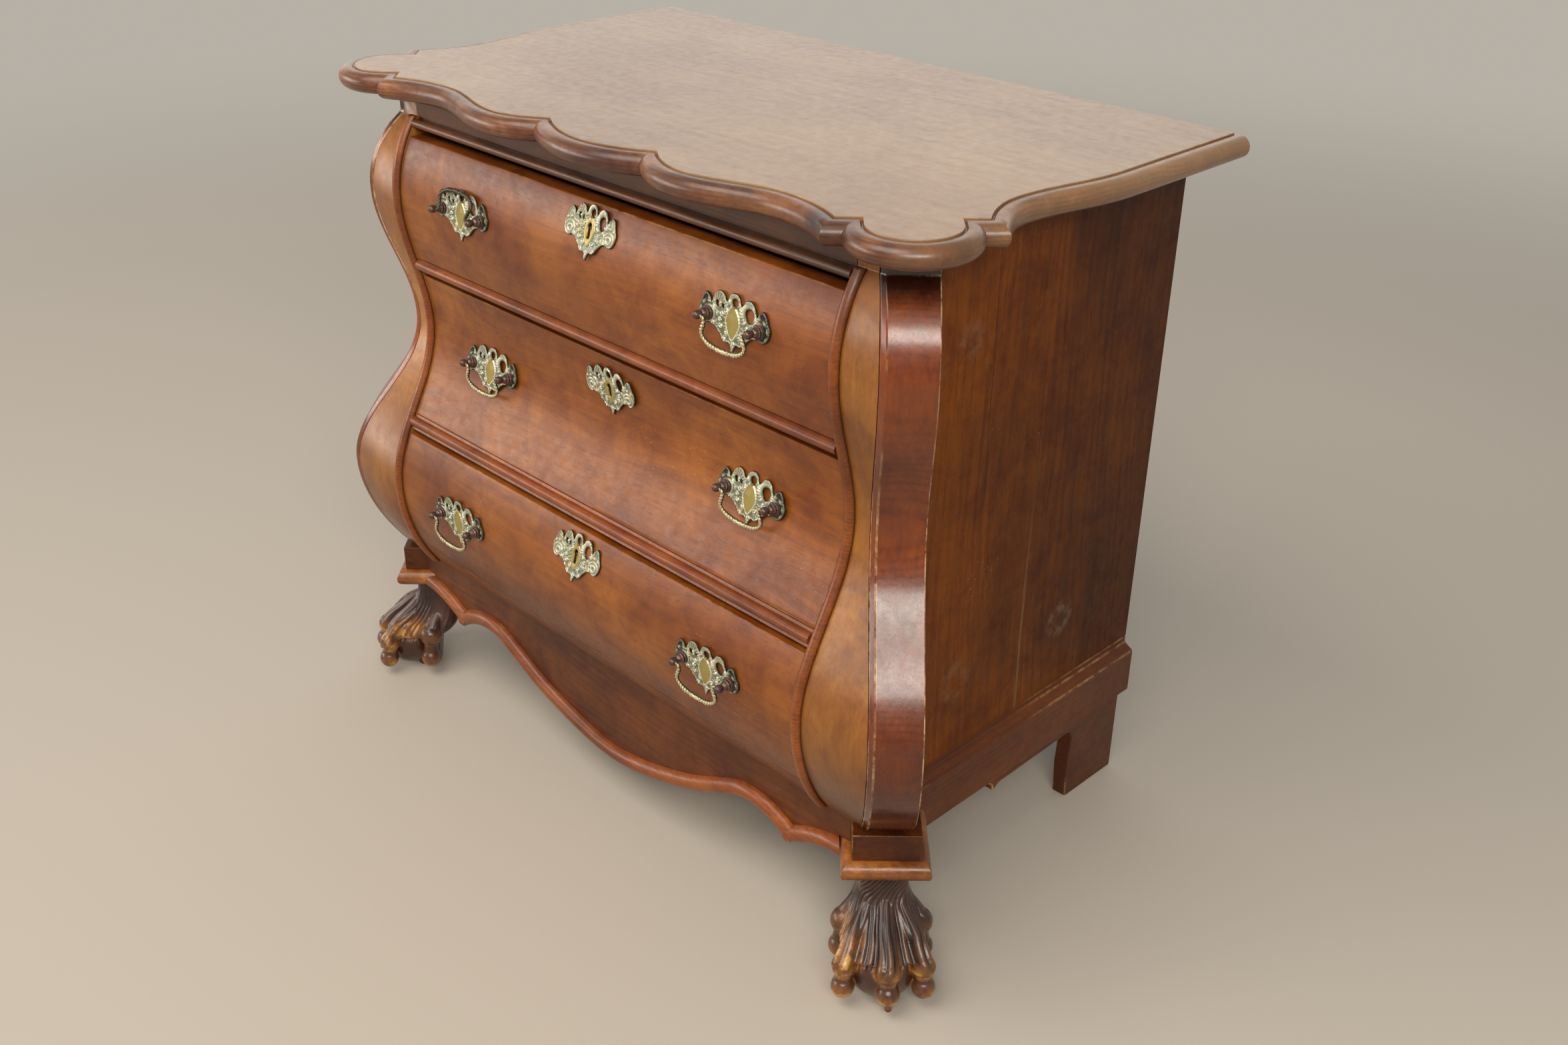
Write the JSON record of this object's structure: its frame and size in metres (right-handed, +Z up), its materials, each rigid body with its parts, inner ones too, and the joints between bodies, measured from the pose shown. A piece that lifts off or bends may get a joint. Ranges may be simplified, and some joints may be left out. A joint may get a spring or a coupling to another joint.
{
  "type": "bombe chest",
  "caption": "Free-standing chest of drawers with a serpentine bombe front, canted corner boards, a moulded top with round ears, a shaped apron and claw feet.",
  "frame": {"origin": "on the floor, under the centre of the bounding box of the whole chest", "axes": "+Z up, +X towards the viewer's right from in front, -Y towards the viewer in front of the drawers"},
  "size_m": [0.975, 0.5534, 0.8],
  "materials": {
    "top_wood": "satin stained veneer",
    "moulding_wood": "polished stained wood",
    "front_wood": "polished stained veneer",
    "corner_wood": "polished stained wood",
    "side_wood": "satin stained wood",
    "inner_wood": "bare wood",
    "foot_wood": "polished carved wood",
    "brass": "aged cast brass",
    "bronze": "dark aged cast brass"
  },
  "bodies": {
    "case": {"top_field": "top_wood", "top_moulding": "moulding_wood", "frieze_rail": "front_wood", "upper_rail": "moulding_wood", "lower_rail": "moulding_wood", "bottom_rail": "front_wood", "side_panel_right": "side_wood", "side_panel_left": "side_wood", "corner_board_right": "corner_wood", "corner_board_left": "corner_wood", "stile_right": "front_wood", "stile_left": "front_wood", "side_bead_right": "moulding_wood", "side_bead_left": "moulding_wood", "upper_dust_board": "inner_wood", "lower_dust_board": "inner_wood", "bottom_board": "inner_wood", "back_panel": "inner_wood", "back_rail": "side_wood", "side_rail_right": "side_wood", "side_rail_left": "side_wood", "rear_bracket_right": "side_wood", "rear_bracket_left": "side_wood", "apron": "moulding_wood", "corner_block_right": "corner_wood", "corner_block_left": "corner_wood", "corner_cap_right": "moulding_wood", "corner_cap_left": "moulding_wood", "claw_foot_right": "foot_wood", "claw_foot_left": "foot_wood"},
    "drawer_1": {"drawer_1_front": "front_wood", "drawer_1_side_right": "inner_wood", "drawer_1_side_left": "inner_wood", "drawer_1_back": "inner_wood", "drawer_1_bottom": "inner_wood", "drawer_1_plate_left": "brass", "drawer_1_plate_right": "brass", "drawer_1_scutcheon": "brass"},
    "drawer_1_bail_left": {"drawer_1_bail_left": "bronze"},
    "drawer_1_bail_right": {"drawer_1_bail_right": "bronze"},
    "drawer_2": {"drawer_2_front": "front_wood", "drawer_2_side_right": "inner_wood", "drawer_2_side_left": "inner_wood", "drawer_2_back": "inner_wood", "drawer_2_bottom": "inner_wood", "drawer_2_plate_left": "brass", "drawer_2_plate_right": "brass", "drawer_2_scutcheon": "brass"},
    "drawer_2_bail_left": {"drawer_2_bail_left": "bronze"},
    "drawer_2_bail_right": {"drawer_2_bail_right": "bronze"},
    "drawer_3": {"drawer_3_front": "front_wood", "drawer_3_side_right": "inner_wood", "drawer_3_side_left": "inner_wood", "drawer_3_back": "inner_wood", "drawer_3_bottom": "inner_wood", "drawer_3_plate_left": "brass", "drawer_3_plate_right": "brass", "drawer_3_scutcheon": "brass"},
    "drawer_3_bail_left": {"drawer_3_bail_left": "bronze"},
    "drawer_3_bail_right": {"drawer_3_bail_right": "bronze"}
  },
  "joints": [
    {"name": "drawer_1_slide", "type": "slide", "parent": "case", "child": "drawer_1", "axis": [0, -1, 0], "range_m": [0, 0.33]},
    {"name": "drawer_1_bail_left_swing", "type": "hinge", "parent": "drawer_1", "child": "drawer_1_bail_left", "pos_m": [-0.215, -0.22309, 0.67532], "axis": [1, 0, 0], "range_deg": [0, 220]},
    {"name": "drawer_1_bail_right_swing", "type": "hinge", "parent": "drawer_1", "child": "drawer_1_bail_right", "pos_m": [0.215, -0.22309, 0.67532], "axis": [-1, 0, 0], "range_deg": [-15, 205]},
    {"name": "drawer_2_slide", "type": "slide", "parent": "case", "child": "drawer_2", "axis": [0, -1, 0], "range_m": [0, 0.33]},
    {"name": "drawer_2_bail_left_swing", "type": "hinge", "parent": "drawer_2", "child": "drawer_2_bail_left", "pos_m": [-0.215, -0.20183, 0.48773], "axis": [-1, 0, 0], "range_deg": [-10, 210]},
    {"name": "drawer_2_bail_right_swing", "type": "hinge", "parent": "drawer_2", "child": "drawer_2_bail_right", "pos_m": [0.215, -0.20183, 0.48773], "axis": [-1, 0, 0], "range_deg": [-10, 210]},
    {"name": "drawer_3_slide", "type": "slide", "parent": "case", "child": "drawer_3", "axis": [0, -1, 0], "range_m": [0, 0.33]},
    {"name": "drawer_3_bail_left_swing", "type": "hinge", "parent": "drawer_3", "child": "drawer_3_bail_left", "pos_m": [-0.215, -0.26415, 0.311], "axis": [-1, 0, 0], "range_deg": [-21, 202]},
    {"name": "drawer_3_bail_right_swing", "type": "hinge", "parent": "drawer_3", "child": "drawer_3_bail_right", "pos_m": [0.215, -0.26415, 0.311], "axis": [-1, 0, 0], "range_deg": [-21, 202]}
  ]
}
